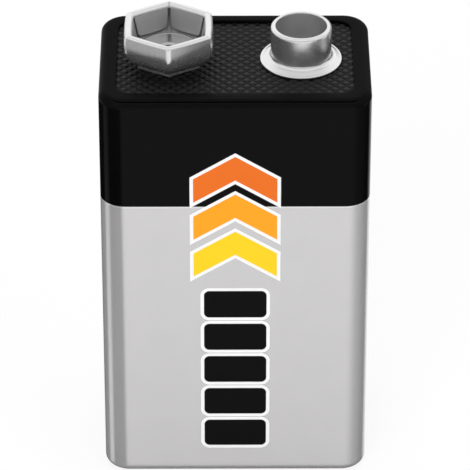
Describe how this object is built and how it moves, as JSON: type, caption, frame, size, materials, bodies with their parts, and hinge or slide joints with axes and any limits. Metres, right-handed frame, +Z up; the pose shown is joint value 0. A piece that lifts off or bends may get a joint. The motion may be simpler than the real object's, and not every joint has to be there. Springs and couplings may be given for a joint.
{
  "type": "nine volt battery",
  "caption": "Small rectangular snap-terminal battery: rolled steel jacket, knurled top plate, hexagonal snap socket and round stud, sleeved cells in series inside.",
  "frame": {"origin": "centre of the base, on the surface that the battery stands on", "axes": "+Z up through the terminals, +X from the socket to the stud, broad front face towards -Y"},
  "size_m": [0.0264, 0.0174, 0.0475],
  "materials": {
    "jacket_coat": "printed steel: silver-grey field below, gloss black field above",
    "top_plastic": "black moulded plastic with a fine diamond knurl",
    "base_plastic": "black moulded plastic, fine grain",
    "terminal_nickel": "bright nickel plate on pressed steel",
    "rivet_nickel": "nickel plate, satin",
    "strap_nickel": "nickel-plated strip",
    "card_board": "pressed insulating board",
    "cell_steel": "nickel-plated deep-drawn steel",
    "seal_nylon": "natural nylon",
    "sleeve_film": "shrunk film"
  },
  "bodies": {
    "root": {"jacket": "jacket_coat", "terminal_plate": "top_plastic", "base_plate": "base_plastic", "socket_terminal": "terminal_nickel", "stud_terminal": "terminal_nickel", "socket_rivet": "rivet_nickel", "stud_rivet": "rivet_nickel", "positive_lead": "strap_nickel", "negative_lead": "strap_nickel", "top_strap_1": "strap_nickel", "top_strap_2": "strap_nickel", "bottom_strap_1": "strap_nickel", "bottom_strap_2": "strap_nickel", "bottom_strap_3": "strap_nickel", "top_card": "card_board", "bottom_card": "card_board", "cell_1_can": "cell_steel", "cell_1_seal": "seal_nylon", "cell_1_cap": "cell_steel", "cell_1_sleeve": "sleeve_film", "cell_2_can": "cell_steel", "cell_2_seal": "seal_nylon", "cell_2_cap": "cell_steel", "cell_2_sleeve": "sleeve_film", "cell_3_can": "cell_steel", "cell_3_seal": "seal_nylon", "cell_3_cap": "cell_steel", "cell_3_sleeve": "sleeve_film", "cell_4_can": "cell_steel", "cell_4_seal": "seal_nylon", "cell_4_cap": "cell_steel", "cell_4_sleeve": "sleeve_film", "cell_5_can": "cell_steel", "cell_5_seal": "seal_nylon", "cell_5_cap": "cell_steel", "cell_5_sleeve": "sleeve_film", "cell_6_can": "cell_steel", "cell_6_seal": "seal_nylon", "cell_6_cap": "cell_steel", "cell_6_sleeve": "sleeve_film"}
  },
  "joints": []
}
